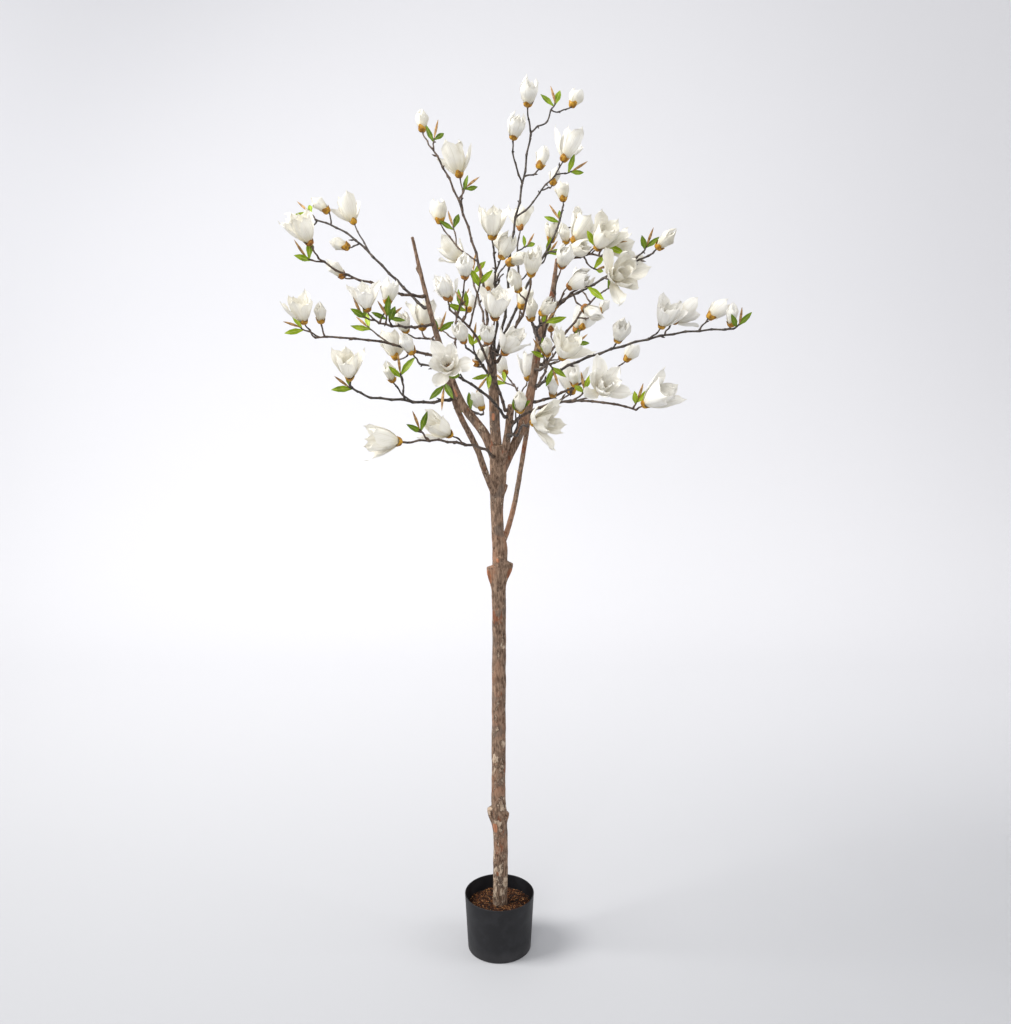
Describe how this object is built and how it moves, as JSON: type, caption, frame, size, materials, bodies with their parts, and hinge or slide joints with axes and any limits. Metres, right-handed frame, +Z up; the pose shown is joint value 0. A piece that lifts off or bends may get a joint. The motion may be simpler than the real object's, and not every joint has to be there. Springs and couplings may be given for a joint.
{
  "type": "artificial magnolia tree",
  "caption": "Artificial magnolia tree: slim wooden trunk and boughs with ivory blossoms, buds and small green leaves, standing in a plain black nursery pot.",
  "frame": {"origin": "middle of the pot's flat underside", "axes": "+Z up along the trunk, -Y to the front of the crown, +X to its right"},
  "size_m": [1.0734, 0.8865, 2.0933],
  "materials": {
    "wood": "natural bark, weathered",
    "spray": "ivory cloth blossoms on dark plastic twigs with green leaves",
    "pot": "moulded, satin",
    "filling": "loose coir and wood chips"
  },
  "bodies": {
    "root": {"bough_center": "wood", "bough_left": "wood", "bough_left_thin": "wood", "bough_right": "wood", "bough_right_thin": "wood", "bough_stub": "wood", "filling": "filling", "pot": "pot", "spray_far_right": "spray", "spray_front_left": "spray", "spray_high_left": "spray", "spray_high_mid": "spray", "spray_high_rear": "spray", "spray_high_right": "spray", "spray_left_arm": "spray", "spray_left_band": "spray", "spray_left_full": "spray", "spray_left_high": "spray", "spray_left_low": "spray", "spray_left_near": "spray", "spray_left_reach": "spray", "spray_left_rear": "spray", "spray_left_wide": "spray", "spray_low_front": "spray", "spray_low_rear": "spray", "spray_low_right": "spray", "spray_mid": "spray", "spray_mid_cross": "spray", "spray_rear_high": "spray", "spray_rear_left": "spray", "spray_rear_low": "spray", "spray_rear_right": "spray", "spray_right_long": "spray", "spray_right_low_rear": "spray", "spray_right_mid": "spray", "spray_right_near": "spray", "spray_right_rear": "spray", "spray_right_tip": "spray", "spray_right_up": "spray", "spray_top": "spray", "trunk": "wood"}
  },
  "joints": []
}
